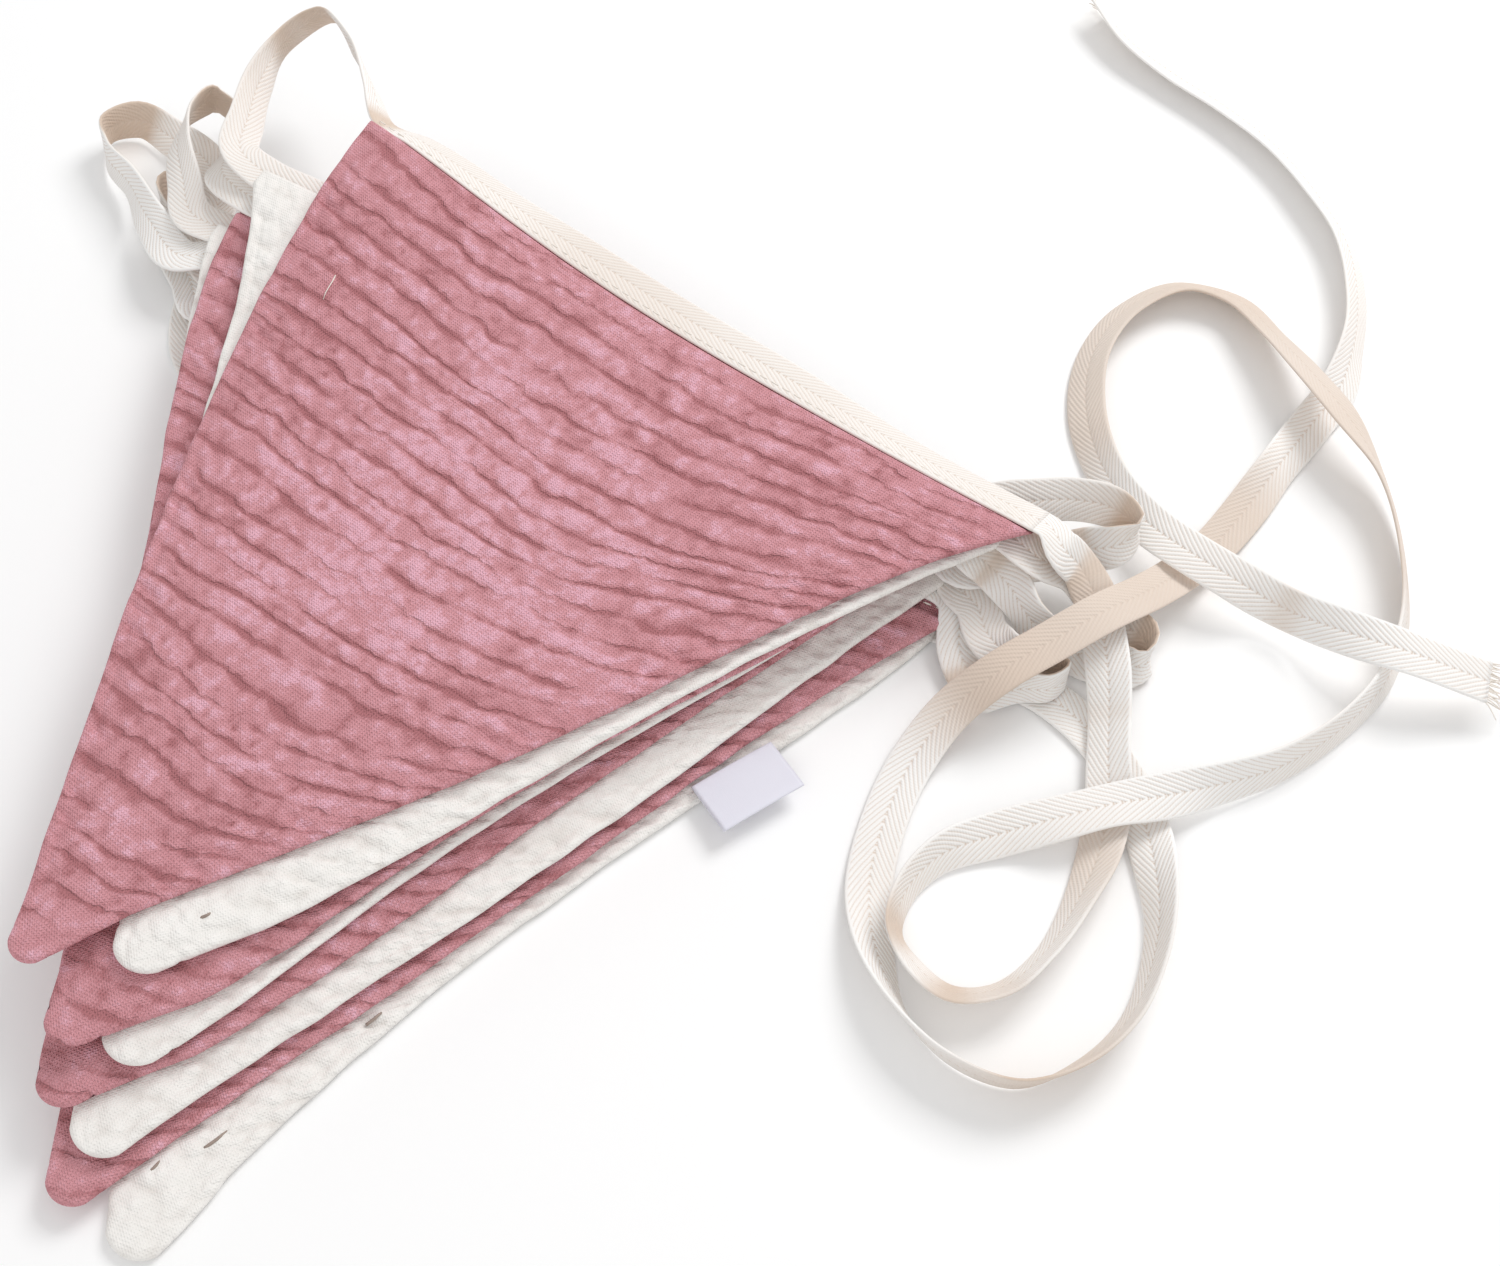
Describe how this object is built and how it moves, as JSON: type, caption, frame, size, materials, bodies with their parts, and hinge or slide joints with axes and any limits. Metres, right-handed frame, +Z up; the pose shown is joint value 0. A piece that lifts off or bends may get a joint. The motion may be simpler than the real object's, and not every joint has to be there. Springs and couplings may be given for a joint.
{
  "type": "fabric bunting",
  "caption": "Fabric bunting of pink and white gauze pennants on cream herringbone tape, folded in a stack with two long looped ties",
  "frame": {"origin": "on the table, under the middle of the lowest pennant", "axes": "+Z up from the table, -Y toward the viewer, +X toward the ties"},
  "size_m": [0.3275, 0.3386, 0.0407],
  "materials": {
    "pink_gauze": "crinkled double gauze, matt",
    "white_gauze": "crinkled double gauze, matt",
    "herringbone_tape": "herringbone woven cotton, matt",
    "label_satin": "smooth satin, slight sheen"
  },
  "bodies": {
    "root": {"pennant_1": "pink_gauze", "pennant_2": "white_gauze", "pennant_3": "pink_gauze", "pennant_4": "white_gauze", "pennant_5": "pink_gauze", "pennant_6": "white_gauze", "pennant_7": "pink_gauze", "pennant_8": "white_gauze", "tape": "herringbone_tape", "tie_1": "herringbone_tape", "tie_2": "herringbone_tape", "label": "label_satin"}
  },
  "joints": []
}
